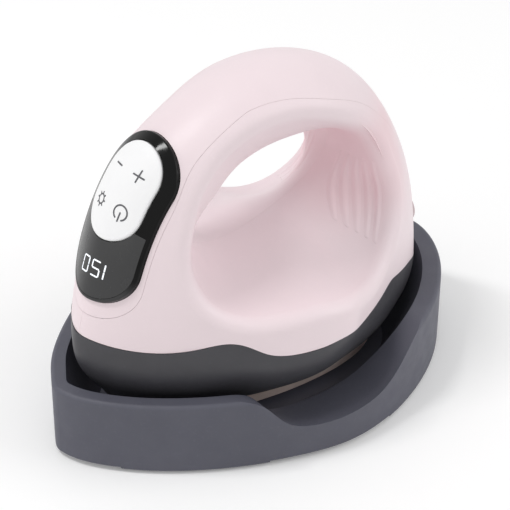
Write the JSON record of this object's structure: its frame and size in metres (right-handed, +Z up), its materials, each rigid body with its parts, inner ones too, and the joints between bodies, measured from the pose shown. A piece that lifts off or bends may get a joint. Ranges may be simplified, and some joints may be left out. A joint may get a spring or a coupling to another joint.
{
  "type": "mini heat press",
  "caption": "Hand-held mini heat press with a loop handle, a sloped display and keypad panel and a boat-shaped heat plate, resting in its docking cradle.",
  "frame": {"origin": "under the middle of the cradle, on the surface that it stands on", "axes": "+Z up, -Y towards the nose with the control panel, +X to the side"},
  "size_m": [0.1116, 0.1601, 0.1236],
  "materials": {
    "blush_shell": "satin moulded",
    "charcoal": "satin moulded",
    "slate": "fine matt moulded",
    "black_gloss": "gloss",
    "dark_window": "smoked gloss",
    "white_pad": "matt",
    "plate": "hard coated",
    "steel": "plain",
    "aluminium_sheet": "mill",
    "brass_posts": "turned",
    "silicone": "matt",
    "dark_rubber": "matt",
    "felt": "ceramic fibre felt",
    "heat_plastic": "heat resisting moulding",
    "board_green": "solder mask",
    "component_black": "moulded",
    "component_blue": "moulded",
    "wire": "silicone sleeve"
  },
  "bodies": {
    "base": {"cradle": "slate", "cradle_feet": "dark_rubber", "rest_pads": "silicone"},
    "press": {"board_screws": "steel", "board_standoffs": "brass_posts", "buzzer": "component_black", "capacitor": "component_black", "clamp_screws": "steel", "control_board": "board_green", "controller_chip": "component_black", "cord_bush": "dark_rubber", "cord_clamp": "charcoal", "cord_clamp_cap": "charcoal", "cord_clamp_screws": "steel", "display_module": "component_black", "display_window": "dark_window", "element_clamp": "aluminium_sheet", "element_leads": "wire", "gimbal_bracket": "steel", "heat_baffle": "aluminium_sheet", "heat_plate": "plate", "heating_element": "steel", "insulation_pad": "felt", "lower_housing": "charcoal", "panel_bezel": "black_gloss", "panel_ribbon": "white_pad", "panel_screws": "steel", "plate_gasket": "silicone", "plate_screws": "steel", "plate_spacers": "heat_plastic", "power_board": "board_green", "power_module": "component_black", "relay": "component_blue", "sensor_strap": "steel", "shell_left": "blush_shell", "shell_right": "blush_shell", "shell_screws": "steel", "tact_switches": "component_black", "temperature_sensor": "steel", "terminal_block": "component_blue", "thermal_fuse": "heat_plastic", "tilt_switch": "component_black", "top_cover": "blush_shell"},
    "gimbal": {"pad_gimbal": "steel"},
    "keys": {"keypad": "white_pad"}
  },
  "joints": [
    {"name": "press_lift", "type": "slide", "parent": "base", "child": "press", "axis": [0, 0, 1], "range_m": [0, 0.05]},
    {"name": "pad_pitch", "type": "hinge", "parent": "press", "child": "gimbal", "pos_m": [0, -0.04573, 0.09305], "axis": [1, 0, 0], "range_deg": [-1.5, 1.5], "stiffness_Nm_per_rad": 0.3},
    {"name": "pad_roll", "type": "hinge", "parent": "gimbal", "child": "keys", "pos_m": [0, -0.04573, 0.09305], "axis": [0, 0.5341, 0.8454], "range_deg": [-1.5, 1.5], "stiffness_Nm_per_rad": 0.3}
  ]
}
